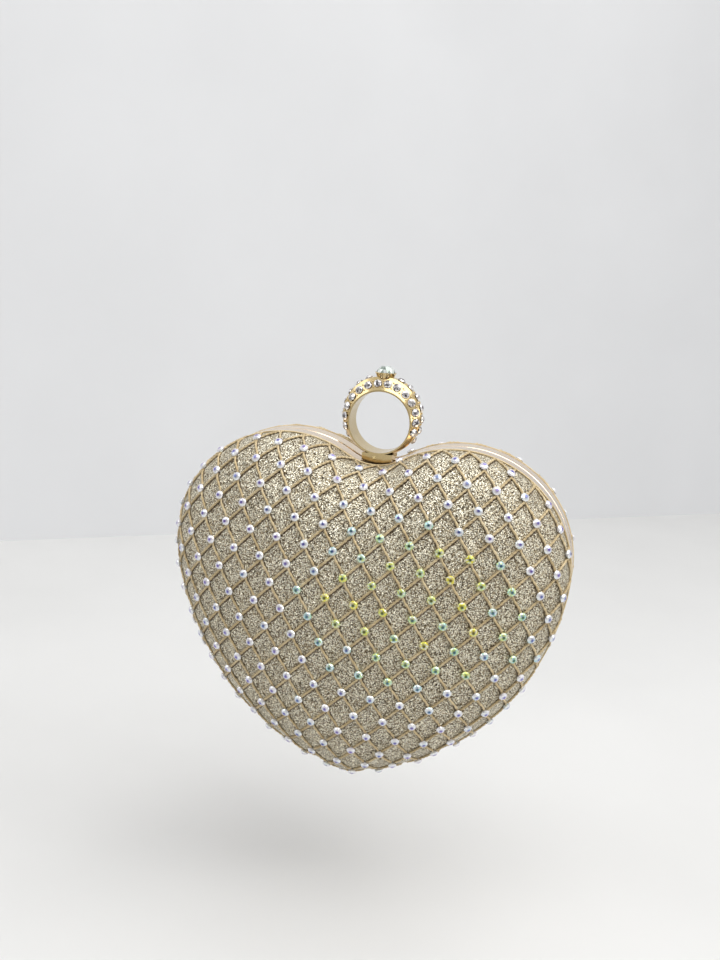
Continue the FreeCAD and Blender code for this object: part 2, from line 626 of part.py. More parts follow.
# Assembly
def build():
    blank = frame_blank()
    ring = ring_blank()
    spring_half = SPRING_WIDTH / 2 + 2 * SIDE_CLEARANCE
    relief = box(-spring_half, spring_half, 0, FRAME_END, SPRING_TOP - SHELL_THICKNESS - PAST, 0)
    lip = shell_lip()
    cover = bowl(COVER_SETBACK, DOME_DEPTH, COVER_THICKNESS)
    lining = bowl(LINING_INSET, LINING_DEPTH, LINING_THICKNESS)
    crystals = net_crystals()
    edge, gap = KNUCKLE_EDGE, KNUCKLE_GAP / 2
    reach = HINGE_WIDTH / 2
    outer_knuckles = ((-reach, -edge - gap), (edge + gap, reach))
    inner_knuckle = ((-edge + gap, edge - gap),)
    bore = y_rod(FINGER_BORE / 2, -RING_WIDTH, RING_WIDTH, 0)
    pin_reach = FOOT_WIDTH / 2 - SLOT_MARGIN
    return {
        "back_frame": make_back_frame(blank),
        "back_shell": make_shell(lip.cut(relief)),
        "back_cover": cover,
        "back_crystals": crystals,
        "back_lining": lining,
        "back_hinge_leaf": drill(hinge_leaf(outer_knuckles), BACK_HINGE_RIVETS),
        "back_hinge_rivets": rivets(BACK_HINGE_RIVETS, HINGE_GRIP),
        "hinge_pin": make_hinge_pin(),
        "clasp_lug": make_clasp_lug(),
        "clasp_pin": x_rod(CLASP_PIN_RADIUS, -pin_reach, pin_reach, PIVOT_Y, PIVOT_Z),
        "latch_spring": make_latch_spring(),
        "latch_rivets": rivets(SPRING_RIVETS, SPRING_GRIP),
        "front_frame": make_front_frame(blank),
        "front_shell": to_front(make_shell(lip)),
        "front_cover": to_front(cover),
        "front_crystals": to_front(crystals),
        "front_lining": to_front(lining),
        "front_hinge_leaf": drill(to_front(hinge_leaf(inner_knuckle)), FRONT_HINGE_RIVETS),
        "front_hinge_rivets": rivets(FRONT_HINGE_RIVETS, HINGE_GRIP),
        "catch_plate": make_catch_plate(),
        "catch_rivets": rivets(CATCH_RIVETS, CATCH_GRIP),
        "finger_ring": ring.cut(bore),
        "ring_foot": make_ring_foot(ring),
        "ring_front_crystals": ring_row("front"),
        "ring_crest_crystals": ring_row("crest"),
        "ring_back_crystals": ring_row("back"),
        "solitaire_collet": make_collet(ring),
        "solitaire_crystal": make_solitaire(),
    }


for name, shape in build().items():
    shape.exportStep(f"parts/{name}.step")
    solids = shape.Solids
    print(name, len(solids), "solids", round(sum(s.Volume for s in solids), 1), "mm3", shape.isValid())
print("heart height", round(LOBE_Z + LOBE_RADIUS - TIP_Z, 1), "tip z", round(TIP_Z, 1))
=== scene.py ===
# %% [markdown]
# # Dressing a heart shaped evening purse
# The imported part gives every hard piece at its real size: two heart frames, two moulded bowls, a hinge, a
# latch and a finger ring. What it lacks is the dress: glitter cloth, a cord net, cut crystals, satin and
# polished metal. This lesson adds those, piece by piece, in the same frame and in metres.

# %% Load the frame
import math
import random

import bmesh
import bpy
import numpy as np
from mathutils import Matrix, Quaternion, Vector


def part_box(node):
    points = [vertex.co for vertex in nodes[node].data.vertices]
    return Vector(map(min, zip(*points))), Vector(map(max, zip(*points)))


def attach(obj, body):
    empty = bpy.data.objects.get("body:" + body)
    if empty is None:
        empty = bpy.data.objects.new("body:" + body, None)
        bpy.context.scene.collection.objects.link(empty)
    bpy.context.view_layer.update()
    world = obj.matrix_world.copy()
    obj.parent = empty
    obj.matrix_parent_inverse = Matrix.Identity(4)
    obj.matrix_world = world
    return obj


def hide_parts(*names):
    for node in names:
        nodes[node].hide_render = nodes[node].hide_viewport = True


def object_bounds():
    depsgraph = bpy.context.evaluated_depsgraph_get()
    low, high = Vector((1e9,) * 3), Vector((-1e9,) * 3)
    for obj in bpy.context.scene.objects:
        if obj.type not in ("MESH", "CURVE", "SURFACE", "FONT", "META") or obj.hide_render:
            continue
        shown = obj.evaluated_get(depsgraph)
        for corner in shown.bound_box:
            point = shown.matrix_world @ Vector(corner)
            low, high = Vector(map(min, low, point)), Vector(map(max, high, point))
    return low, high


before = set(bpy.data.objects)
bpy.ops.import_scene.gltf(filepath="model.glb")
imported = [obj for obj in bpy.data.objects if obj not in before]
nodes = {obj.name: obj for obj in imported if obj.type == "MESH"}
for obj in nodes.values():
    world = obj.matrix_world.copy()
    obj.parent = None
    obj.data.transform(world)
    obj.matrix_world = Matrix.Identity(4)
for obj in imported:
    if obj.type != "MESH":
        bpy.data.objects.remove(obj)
cad_low, cad_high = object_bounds()
MM = 0.001
HALVES = {"front": -1, "back": 1}
print("frame:", len(nodes), "nodes,", [round(x / MM, 1) for x in cad_high - cad_low], "mm")

# %% [markdown]
# ## The heart outline
# Cloth, piping and lining all follow one heart, which is six arcs that run smoothly into each other. It could
# be traced point by point, but arcs stay smooth at any size. Its width, height and depth are read from the
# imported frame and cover, and the arcs' own radii are named here. Drawn together towards the crown of the
# bulge, the notch opens out, so that its valley fades away.

# %% Outline of the heart
frame_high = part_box("back_frame")[1]
cover_low, cover_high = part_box("back_cover")
LOBE_OFFSET = 34 * MM
SIDE_RADIUS = 99 * MM
SIDE_START = math.radians(6)
TIP_RADIUS = 17 * MM
NOTCH_RADIUS = 20 * MM
NOTCH_FADE = 2.5
CROWN_DROP = 58 * MM
LOBE_RADIUS = frame_high.x - LOBE_OFFSET
LOBE_Z = frame_high.z - LOBE_RADIUS
SIDE_X = LOBE_OFFSET - (SIDE_RADIUS - LOBE_RADIUS) * math.cos(SIDE_START)
SIDE_Z = LOBE_Z + (SIDE_RADIUS - LOBE_RADIUS) * math.sin(SIDE_START)
TIP_CENTRE_Z = SIDE_Z - math.sqrt((SIDE_RADIUS - TIP_RADIUS) ** 2 - SIDE_X ** 2)
TIP_ANGLE = math.atan2(TIP_CENTRE_Z - SIDE_Z, -SIDE_X)
NOTCH_Z = LOBE_Z + math.sqrt((LOBE_RADIUS + NOTCH_RADIUS) ** 2 - LOBE_OFFSET ** 2) - NOTCH_RADIUS
CROWN_Z = NOTCH_Z - CROWN_DROP
ARC_STEPS = (10, 32, 26, 12, 26, 32)


def heart_arcs(share, inset):
    """Centre, radius, start and end angle of the six arcs, for an outline drawn together to a share."""
    half, full = math.pi / 2, math.pi
    notch_radius = NOTCH_RADIUS / share ** NOTCH_FADE
    rise = math.sqrt((LOBE_RADIUS + notch_radius) ** 2 - LOBE_OFFSET ** 2)
    turn = math.atan2(LOBE_OFFSET, rise)
    return (
        (0, LOBE_Z + rise, notch_radius + inset, -half - turn, -half + turn),
        (LOBE_OFFSET, LOBE_Z, LOBE_RADIUS - inset, half + turn, -SIDE_START),
        (SIDE_X, SIDE_Z, SIDE_RADIUS - inset, -SIDE_START, TIP_ANGLE),
        (0, TIP_CENTRE_Z, TIP_RADIUS - inset, TIP_ANGLE, -full - TIP_ANGLE),
        (-SIDE_X, SIDE_Z, SIDE_RADIUS - inset, -full - TIP_ANGLE, -full + SIDE_START),
        (-LOBE_OFFSET, LOBE_Z, LOBE_RADIUS - inset, -full + SIDE_START, -3 * half - turn),
    )


def outline(share, inset, y):
    """Points of the heart at one depth, drawn together about the crown."""
    points = []
    for (x, z, radius, start, end), steps in zip(heart_arcs(share, inset), ARC_STEPS):
        for k in range(steps):
            angle = start + (end - start) * k / steps
            along = z + radius * math.sin(angle) - CROWN_Z
            points.append(Vector((share * (x + radius * math.cos(angle)), y, CROWN_Z + share * along)))
    return points


print("outline:", len(outline(1, 0, 0)), "points, notch at", round(NOTCH_Z / MM, 1),
      "and crown at", round(CROWN_Z / MM, 1), "mm")

# %% [markdown]
# ## The bulge as rings
# Each half bulges like a cushion. It could be sculpted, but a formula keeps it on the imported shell: rings of
# the outline shrink as they rise, along a rounded section. A skin is the first ring as a loop of edges,
# extruded from ring to ring and gathered into one point at the crown.

# %% Rings and skins
PLAN_POWER = 2.4
DEPTH_POWER = 2.1
LEVELS = 30
RIM_Y = cover_low.y
COVER_DEPTH = cover_high.y - cover_low.y
COVER_SETBACK = 0.3 * MM


def dome_level(k):
    """Share of the outline and share of the depth on ring k, counted from the crown."""
    angle = math.pi / 2 * k / LEVELS
    return math.sin(angle) ** (2 / PLAN_POWER), max(math.cos(angle), 0) ** (2 / DEPTH_POWER)


def dome_rings(inset, depth, side):
    """Rings of a bulge on one side of the seam, from its rim to its crown."""
    rings = []
    for k in range(LEVELS, 0, -1):
        share, rise = dome_level(k)
        rings.append(outline(share, inset, side * (RIM_Y + depth * rise)))
    return rings


def skin(rings, crown, outward):
    """Skin over rings, with the ring number and the place in the ring kept on each vertex."""
    bm = bmesh.new()
    place = bm.verts.layers.int.new("place")
    ring_number = bm.verts.layers.int.new("ring")
    loop = [bm.verts.new(point) for point in rings[0]]
    for k, vert in enumerate(loop):
        vert[place] = k
    edges = [bm.edges.new(pair) for pair in zip(loop, loop[1:] + loop[:1])]
    for number, ring in enumerate(rings[1:] + [[crown] * len(loop)], 1):
        made = bmesh.ops.extrude_edge_only(bm, edges=edges)["geom"]
        edges = [e for e in made if isinstance(e, bmesh.types.BMEdge) and e.is_boundary]
        for vert in (v for v in made if isinstance(v, bmesh.types.BMVert)):
            vert.co = ring[vert[place]]
            vert[ring_number] = number
    pole = [v for v in bm.verts if v[ring_number] == len(rings)]
    bmesh.ops.pointmerge(bm, verts=pole, merge_co=crown)
    bmesh.ops.recalc_face_normals(bm, faces=bm.faces)
    bm.faces.ensure_lookup_table()
    top = min(bm.faces, key=lambda face: (face.calc_center_median() - crown).length)
    if top.normal.dot(outward) < 0:
        bmesh.ops.reverse_faces(bm, faces=bm.faces)
    return bm


print("bulge:", LEVELS, "rings, depth", round(COVER_DEPTH / MM, 1), "mm")

# %% [markdown]
# ## Cloth coordinates
# The net is a grid of straight cords on flat cloth, which is then stretched over the bulge. A flat grid
# pushed onto the bulge would stretch the gaps near the rim, so lengths are walked along the surface instead.
# A place on the cloth is a direction from the crown and a length that way. Walking the rings in that
# direction turns it into a point in space, and the slope there gives the outward normal.

# %% From flat cloth to the bulge
SMALL_TURN = 0.02


def reach_table(k):
    """Depth of ring k and its reach from the crown by direction, on the back cover."""
    share, rise = dome_level(k)
    points = outline(share, COVER_SETBACK, RIM_Y + COVER_DEPTH * rise)
    spokes = sorted((math.atan2(p.z - CROWN_Z, p.x), math.hypot(p.x, p.z - CROWN_Z)) for p in points)
    return points[0].y, np.array([a for a, _ in spokes]), np.array([r for _, r in spokes])


REACHES = [reach_table(k) for k in range(1, LEVELS + 1)]


def ring_point(direction, ring):
    """Point of one ring in one direction from the crown."""
    y, angles, reaches = ring
    reach = np.interp(direction, angles, reaches, period=2 * math.pi)
    return np.array((reach * math.cos(direction), y, CROWN_Z + reach * math.sin(direction)))


def meridian(direction):
    """Points from the crown to the rim in one direction, with the length walked at each."""
    crown = np.array((0, RIM_Y + COVER_DEPTH, CROWN_Z))
    line = np.array([crown] + [ring_point(direction, ring) for ring in REACHES])
    steps = np.linalg.norm(np.diff(line, axis=0), axis=1)
    return line, np.concatenate(([0], np.cumsum(steps)))


def on_cloth(u, v, margin):
    """Point and normal on the back cover for a place on the cloth, or None nearer to the rim than margin."""
    direction = math.atan2(v, u)
    line, lengths = meridian(direction)
    length = math.hypot(u, v)
    if length > lengths[-1] - margin:
        return None
    k = int(np.searchsorted(lengths, length, side="right")) - 1
    along = line[k + 1] - line[k]
    point = line[k] + along * (length - lengths[k]) / (lengths[k + 1] - lengths[k])
    beside = ring_point(direction + SMALL_TURN, REACHES[k]) - ring_point(direction - SMALL_TURN, REACHES[k])
    normal = Vector(np.cross(beside, along)).normalized()
    return Vector(point), normal if normal.y > 0 else -normal


print("cloth from crown to tip:", round(meridian(-math.pi / 2)[1][-1] / MM, 1), "mm")

# %% [markdown]
# ## Nodes and node groups
# Finishes are node trees. A short helper adds a node and wires it, so that each finish reads as a list of
# what it is made of. Effects that several finishes share become groups: tilted flakes, drawn lines from
# polishing, and soft patches where hands have dulled the gloss. Groups give out values, colours and normals,
# and the shader itself always stays in the finish.

# %% Node helpers
NOISE_LOW, NOISE_HIGH = 0.3, 0.7        # most values of a noise lie between these


def add(tree, kind, inputs=None, **settings):
    """Add a node. inputs maps a socket to a value, or to another node's output."""
    node = tree.nodes.new(kind)
    for key, value in settings.items():
        setattr(node, key, value)
    for key, value in (inputs or {}).items():
        if isinstance(value, bpy.types.NodeSocket):
            tree.links.new(value, node.inputs[key])
        else:
            node.inputs[key].default_value = value
    return node


def math_node(tree, operation, *values):
    """Outcome of an operation on values."""
    return add(tree, "ShaderNodeMath", dict(enumerate(values)), operation=operation).outputs[0]


def vector_node(tree, operation, *values):
    """Outcome of an operation on vectors."""
    return add(tree, "ShaderNodeVectorMath", dict(enumerate(values)), operation=operation).outputs[0]


def range_node(tree, value, low, high, to_low, to_high):
    """Value carried over from one range to another."""
    return add(tree, "ShaderNodeMapRange", {0: value, 1: low, 2: high, 3: to_low, 4: to_high}).outputs[0]


def mix_node(tree, share, first, second):
    """Mix of two colours."""
    return add(tree, "ShaderNodeMix", {0: share, 6: first, 7: second}, data_type="RGBA").outputs[2]


def noise_node(tree, place, scale, detail):
    """Noise at a place."""
    return add(tree, "ShaderNodeTexNoise", {"Vector": place, "Scale": scale, "Detail": detail}).outputs[0]


def own_place(tree):
    """Place in the piece's own coordinates."""
    return add(tree, "ShaderNodeTexCoord").outputs["Object"]


def kept_value(tree, name):
    """Value that the mesh keeps under a name."""
    return add(tree, "ShaderNodeAttribute", attribute_name=name).outputs["Fac"]


def ramp_node(tree, value, stops):
    """Colour ramp through (place, colour) stops."""
    node = add(tree, "ShaderNodeValToRGB", {0: value})
    ramp = node.color_ramp
    for element, (place, colour) in zip(ramp.elements, (stops[0], stops[-1])):
        element.position = place
        element.color = (*colour, 1)
    for place, colour in stops[1:-1]:
        ramp.elements.new(place).color = (*colour, 1)
    return node.outputs[0]


def linear(red, green, blue):
    """Linear colour for a screen colour of 0 to 255."""
    shares = [c / 255 for c in (red, green, blue)]
    return tuple(c / 12.92 if c <= 0.04045 else ((c + 0.055) / 1.055) ** 2.4 for c in shares)


def two_tones(tree, value, darker, paler):
    """Colour between two tones, by a noise."""
    return ramp_node(tree, value, ((NOISE_LOW, darker), (NOISE_HIGH, paler)))


print("node helpers ready, a middle grey is", [round(c, 3) for c in linear(128, 128, 128)])

# %% Groups and finishes
def new_group(name, inputs, outputs):
    """Empty shader group with named sockets."""
    tree = bpy.data.node_groups.new(name, "ShaderNodeTree")
    for label, value in inputs.items():
        tree.interface.new_socket(label, in_out="INPUT", socket_type="NodeSocketFloat").default_value = value
    for label, kind in outputs.items():
        tree.interface.new_socket(label, in_out="OUTPUT", socket_type=kind)
    return tree, tree.nodes.new("NodeGroupInput").outputs, tree.nodes.new("NodeGroupOutput").inputs


def use_group(tree, group, **values):
    """Place a group in a finish. Underscores in the names stand for spaces."""
    inputs = {key.replace("_", " "): value for key, value in values.items()}
    return add(tree, "ShaderNodeGroup", inputs, node_tree=group).outputs


def new_finish(name, **values):
    """Material with a Principled shader, whose plain values are set on its own sockets."""
    finish = bpy.data.materials.new(name)
    finish.use_nodes = True
    shader = finish.node_tree.nodes["Principled BSDF"]
    for key, value in values.items():
        shader.inputs[key.replace("_", " ")].default_value = value
    return finish, finish.node_tree, shader.inputs


print("group and finish helpers ready")

# %% Group of tilted flakes
flakes, given, out = new_group(
    "tilted_flakes",
    {"Flake Size": 0.4 * MM, "Tilt": 0.8},
    {"Shade": "NodeSocketFloat", "Normal": "NodeSocketVector"},
)
flakes_per_metre = math_node(flakes, "DIVIDE", 1, given["Flake Size"])
cells = add(flakes, "ShaderNodeTexVoronoi", {"Vector": own_place(flakes), "Scale": flakes_per_metre})
lean = vector_node(flakes, "SUBTRACT", cells.outputs["Color"], (0.5, 0.5, 0.5))
lean = add(flakes, "ShaderNodeVectorMath", {0: lean, "Scale": given["Tilt"]}, operation="SCALE").outputs[0]
surface = add(flakes, "ShaderNodeNewGeometry").outputs["Normal"]
facing = vector_node(flakes, "NORMALIZE", vector_node(flakes, "ADD", lean, surface))
flakes.links.new(facing, out["Normal"])
flakes.links.new(add(flakes, "ShaderNodeSeparateColor", {0: cells.outputs["Color"]}).outputs[0], out["Shade"])
print("group:", flakes.name)

# %% Groups of drawn lines and dulled patches
drawn_lines, given, out = new_group(
    "drawn_lines", {"Along": 40.0, "Across": 9000.0}, {"Height": "NodeSocketFloat"})
stretch = add(drawn_lines, "ShaderNodeCombineXYZ", {0: given["Along"], 1: given["Across"], 2: given["Along"]})
stretched = vector_node(drawn_lines, "MULTIPLY", own_place(drawn_lines), stretch.outputs[0])
drawn_lines.links.new(noise_node(drawn_lines, stretched, scale=1.0, detail=3.0), out["Height"])

dulled, given, out = new_group(
    "dulled_patches", {"Size": 12 * MM, "Least": 0.1, "Most": 0.3}, {"Roughness": "NodeSocketFloat"})
patches_per_metre = math_node(dulled, "DIVIDE", 1, given["Size"])
patches = noise_node(dulled, own_place(dulled), patches_per_metre, detail=4.0)
roughness = range_node(dulled, patches, NOISE_LOW, NOISE_HIGH, given["Least"], given["Most"])
dulled.links.new(roughness, out["Roughness"])


def dull(tree, shader, size, least, most):
    """Let dulled patches of a size set the gloss of a finish."""
    patches = use_group(tree, dulled, Size=size, Least=least, Most=most)
    tree.links.new(patches["Roughness"], shader["Roughness"])


def emboss(tree, shader, height, strength, distance):
    """Let a height bump the surface of a finish."""
    bump = add(tree, "ShaderNodeBump", {"Height": height, "Strength": strength, "Distance": distance})
    tree.links.new(bump.outputs[0], shader["Normal"])


print("groups:", drawn_lines.name, dulled.name)

# %% [markdown]
# ## Glitter cloth
# The cloth is covered in fine foil flakes that lie at all angles, so each one mirrors another bit of the
# room. Loose flakes could be scattered over it, but a pattern does the same with no extra faces. Each cell of
# a Voronoi pattern is a flake: a random colour from dark bronze to near white, and a random tilt added to
# the normal. Under the cords of the net the cloth is shaded, and the cloth's own UV map, which counts cords,
# tells where that is.

# %% Glitter finish
FLAKE_SIZE = 0.27 * MM
JOG = 0.12                      # where a rising cord meets the next falling one, in falling pitches
FLAKE_ROUGHNESS = (0.5, 0.28)   # of dark flakes and of bright ones
SHADE_BELOW = (0.07, 0.12)      # where the shade under a rising cord fades, in pitches from the cord
SHADE_BESIDE = (0.05, 0.09)     # the same beside a falling cord
LEAST_LIGHT_BELOW = 0.12
LEAST_LIGHT_BESIDE = 0.3

glitter, tree, shader = new_finish("glitter_cloth", Metallic=0.5, IOR=1.5)
flake = use_group(tree, flakes, Flake_Size=FLAKE_SIZE, Tilt=1.2)
foil = ramp_node(tree, flake["Shade"], (
    (0.0, linear(38, 30, 19)),
    (0.32, linear(110, 95, 71)),
    (0.58, linear(197, 182, 149)),
    (0.73, linear(255, 250, 230)),
))
cloth_map = add(tree, "ShaderNodeUVMap", uv_map="cords").outputs[0]
split = add(tree, "ShaderNodeSeparateXYZ", {0: cloth_map}).outputs
slant = math_node(tree, "MULTIPLY", math_node(tree, "FRACT", split[0]), JOG)
below = math_node(tree, "FRACT", math_node(tree, "SUBTRACT", split[1], slant))
lit_below = range_node(tree, below, *SHADE_BELOW, LEAST_LIGHT_BELOW, 1.0)
aside = math_node(tree, "PINGPONG", split[0], 0.5)
lit_beside = range_node(tree, aside, *SHADE_BESIDE, LEAST_LIGHT_BESIDE, 1.0)
lit = math_node(tree, "MULTIPLY", lit_below, lit_beside)
tree.links.new(mix_node(tree, lit, (*linear(74, 52, 28), 1), foil), shader["Base Color"])
tree.links.new(range_node(tree, flake["Shade"], 0.0, 1.0, *FLAKE_ROUGHNESS), shader["Roughness"])
tree.links.new(flake["Normal"], shader["Normal"])
print("finish:", glitter.name)

# %% From a skin to a finished piece
def dress(mesh, finish):
    """Give a mesh one finish and no other."""
    mesh.materials.clear()
    mesh.materials.append(finish)


def show(mesh, name, body, finish):
    """Object for a finished mesh, riding on a body, with its finish."""
    piece = bpy.data.objects.new(name, mesh)
    bpy.context.scene.collection.objects.link(piece)
    dress(mesh, finish)
    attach(piece, body)
    return piece


def thicken(piece, label, thickness):
    """Smooth a skin and give it a wall behind its face."""
    smoother = piece.modifiers.new("smooth", "SUBSURF")
    smoother.levels = smoother.render_levels = 1
    wall = piece.modifiers.new(label, "SOLIDIFY")
    wall.thickness, wall.offset = thickness, -1


def to_mesh(bm, name, smooth):
    """Mesh from a bmesh, shaded smooth or in flat facets."""
    mesh = bpy.data.meshes.new(name)
    bm.to_mesh(mesh)
    bm.free()
    mesh.polygons.foreach_set("use_smooth", [smooth] * len(mesh.polygons))
    return mesh


print("pieces ride on:", ", ".join(f"{half}_half" for half in HALVES), "and ring_lever")

# %% Cover both halves in glitter cloth
RISE_PITCH, RISE_DEG = 10.2 * MM, 52.8
FALL_PITCH, FALL_DEG = 10.6 * MM, -62.2
NET_SHIFT = Vector((-3.4 * MM, 2.2 * MM))
CLOTH_THICKNESS = 0.7 * MM
rise_step = Vector((math.cos(math.radians(RISE_DEG)), math.sin(math.radians(RISE_DEG)))) * RISE_PITCH
fall_step = Vector((math.cos(math.radians(FALL_DEG)), math.sin(math.radians(FALL_DEG)))) * FALL_PITCH
to_cords = Matrix(((rise_step.x, fall_step.x), (rise_step.y, fall_step.y))).inverted()


def cord_count(vert, ring_number):
    """Place of a cover's vertex on the cloth, counted in cords from the crossing near the crown."""
    level = LEVELS - vert[ring_number]
    direction = math.atan2(vert.co.z - CROWN_Z, vert.co.x)
    length = meridian(direction)[1][level] if level else 0
    return to_cords @ (Vector((math.cos(direction), math.sin(direction))) * length - NET_SHIFT)


def make_cover(half, side):
    crown = Vector((0, side * (RIM_Y + COVER_DEPTH), CROWN_Z))
    bm = skin(dome_rings(COVER_SETBACK, COVER_DEPTH, side), crown, Vector((0, side, 0)))
    ring_number = bm.verts.layers.int["ring"]
    cords = bm.loops.layers.uv.new("cords")
    places = {vert: cord_count(vert, ring_number) for vert in bm.verts}
    for face in bm.faces:
        for loop in face.loops:
            loop[cords].uv = places[loop.vert]
    piece = show(to_mesh(bm, f"{half}_glitter_cover", True), f"{half}_glitter_cover",
                 f"{half}_half", glitter)
    thicken(piece, "cloth", CLOTH_THICKNESS)
    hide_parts(f"{half}_cover")
    return piece


covers = [make_cover(half, side) for half, side in HALVES.items()]
print("covers:", [len(piece.data.polygons) for piece in covers], "faces")

# %% [markdown]
# ## The cord net
# Two sets of two-ply cords cross on the cloth. A rising cord leaves one crystal and meets the next falling
# cord a little below its crystal, then climbs it, and its pull makes the falling cord sway at each crossing.
# That gives the gaps of a knotted net. A bump in the cloth could hint at it, but round cords catch the light
# and cast shadows. Each cord is a curve with a two-ply outline as its bevel, and a tilt that grows along it
# twists the plies. Under the crystals the cords dip, as if they were pressed down.

# %% Cord finish
FIBRES = 5200.0                 # fibres per metre
YARN_PATCHES = 160.0            # paler and darker stretches of yarn per metre
FIBRE_SHARE = 0.6               # share of the tone that the fibres give
cord_finish, tree, shader = new_finish("twisted_cord", Sheen_Weight=0.25, Sheen_Roughness=0.4, Metallic=0.15)
place = own_place(tree)
fibres = noise_node(tree, place, FIBRES, detail=4.0)
patch = noise_node(tree, place, YARN_PATCHES, detail=2.0)
patch_tone = math_node(tree, "MULTIPLY", patch, 1 - FIBRE_SHARE)
tone = math_node(tree, "ADD", math_node(tree, "MULTIPLY", fibres, FIBRE_SHARE), patch_tone)
yarn = ramp_node(tree, tone, (
    (NOISE_LOW, linear(156, 132, 92)),
    (0.5, linear(212, 190, 146)),
    (NOISE_HIGH, linear(242, 228, 194)),
))
tree.links.new(yarn, shader["Base Color"])
emboss(tree, shader, fibres, strength=0.5, distance=0.08 * MM)
dull(tree, shader, size=2 * MM, least=0.4, most=0.6)
print("finish:", cord_finish.name)

# %% A twisted cord as a curve
PLY_POINTS = 8
PLY_WAIST = 0.36                # depth of the groove between the plies, as a share of the half width


def ply_outline(name, half_width):
    """Outline of two plies laid side by side, as a closed curve."""
    curve = bpy.data.curves.new(name, "CURVE")
    spline = curve.splines.new("POLY")
    spline.points.add(PLY_POINTS - 1)
    spline.use_cyclic_u = True
    for k, point in enumerate(spline.points):
        angle = 2 * math.pi * k / PLY_POINTS
        radius = half_width * (1 - PLY_WAIST * math.sin(angle) ** 2)
        point.co = (radius * math.cos(angle), radius * math.sin(angle), 0, 1)
    profile = bpy.data.objects.new(name, curve)
    bpy.context.scene.collection.objects.link(profile)
    return profile


def twisted_mesh(name, runs, half_width, lay):
    """Mesh of two-ply cords along runs of points. lay is the length of one full twist."""
    profile = ply_outline(f"{name}_plies", half_width)
    curve = bpy.data.curves.new(name, "CURVE")
    curve.dimensions = "3D"
    curve.bevel_mode = "OBJECT"
    curve.bevel_object = profile
    curve.use_fill_caps = True
    curve.resolution_u = 4
    for run in runs:
        spline = curve.splines.new("NURBS")
        spline.points.add(len(run) - 1)
        walked = 0
        for k, (point, here) in enumerate(zip(spline.points, run)):
            walked += (here - run[k - 1]).length if k else 0
            point.co = (*here, 1)
            point.tilt = 2 * math.pi * walked / lay
        spline.order_u = 3
        spline.use_endpoint_u = True
    holder = bpy.data.objects.new(name, curve)
    bpy.context.scene.collection.objects.link(holder)
    mesh = bpy.data.meshes.new_from_object(holder.evaluated_get(bpy.context.evaluated_depsgraph_get()))
    for used in (holder, profile):
        bpy.data.objects.remove(used)
    mesh.polygons.foreach_set("use_smooth", [True] * len(mesh.polygons))
    return mesh


def run_length(run):
    """Length of a run of points."""
    return sum((b - a).length for a, b in zip(run, run[1:]))


print("a cord has", PLY_POINTS, "points round it")

# %% Cords of the net
CORD_ROWS = 16                  # cords tried to each side of the middle one
CORD_STEPS = 6                  # steps of a cord from crossing to crossing
CORD_HEIGHT = 0.3 * MM
CORD_DIP = 0.55 * MM
DIP_LENGTH = 2.3 * MM
KNOT_LIFT = 0.25 * MM           # a rising cord lies on the falling one that it climbs
SWAY = 0.04                     # in rising pitches
RIM_MARGIN = 0.4 * MM
SHORTEST_RUN = 4                # points of a cord's run


def sway(row):
    """How far the rising cords pull a falling one aside: to the right above a crystal, and back below it."""
    return -SWAY * math.sin(2 * math.pi * row)


def falling_path(column):
    """Cord places of one falling cord, with their lift."""
    for k in range(-CORD_ROWS * CORD_STEPS, CORD_ROWS * CORD_STEPS + 1):
        yield column + sway(k / CORD_STEPS), k / CORD_STEPS, 0


def rising_path(row):
    """Cord places of one rising cord: out along the slant, then up the falling cord to the crystal."""
    for start in range(-CORD_ROWS, CORD_ROWS):
        for k in range(CORD_STEPS + 1):
            along = k / CORD_STEPS
            yield start + along * (1 + sway(JOG)), row + JOG * along, KNOT_LIFT if k == CORD_STEPS else 0
        yield start + 1 + sway(JOG / 2), row + JOG / 2, KNOT_LIFT


def cord_runs(paths):
    """Unbroken runs of points on the back cover, for a set of paths."""
    runs = []
    for path in paths:
        run = []
        for i, j, lift in path:
            spot = NET_SHIFT + i * rise_step + j * fall_step
            found = on_cloth(spot.x, spot.y, RIM_MARGIN)
            if found:
                point, normal = found
                crossing = (round(i) - i) * rise_step + (round(j) - j) * fall_step
                dip = CORD_DIP * max(0, 1 - crossing.length / DIP_LENGTH)
                run.append(point + normal * (CORD_HEIGHT + lift - dip))
            elif run:
                runs.append(run)
                run = []
        if run:
            runs.append(run)
    return [run for run in runs if len(run) >= SHORTEST_RUN]


# path, half width and length of one full twist
CORD_SETS = {"falling": (falling_path, 0.55 * MM, 4.6 * MM), "rising": (rising_path, 0.57 * MM, 3.4 * MM)}
for kind, (path, half_width, lay) in CORD_SETS.items():
    back_runs = cord_runs([path(k) for k in range(-CORD_ROWS, CORD_ROWS + 1)])
    for half, side in HALVES.items():
        runs = [[Vector((p.x, side * p.y, p.z)) for p in run] for run in back_runs]
        mesh = twisted_mesh(f"{half}_{kind}_cords", runs, half_width, lay)
        show(mesh, f"{half}_{kind}_cords", f"{half}_half", cord_finish)
        metres = round(sum(run_length(run) for run in runs), 2)
        print(f"{half}_{kind}_cords:", len(runs), "cords,", metres, "m in all,", len(mesh.polygons), "faces")

# %% [markdown]
# ## Cut crystals
# Flat-back crystals have a foil behind them and a thin coating that splits light into colours. A bevelled
# cylinder would look moulded, so each stone is the hull over four rings of points: foot, girdle, crown and
# table. The crown is turned against the others, and the hull breaks into facets by itself. The packed
# crystals give the places: a loose solid is flat, so its outward axis is the one along which its points
# spread least, and its foot is the wider end. A tint and a glint are kept on each facet, because
# neighbouring facets mirror different bits of the room, and the finish paints those reflections from them:
# pale or white facets as painted highlights, and a darker table as a painted dark reflection.

# %% Places of the imported crystals
SAME_POINT = 1e-6               # points nearer than this are one


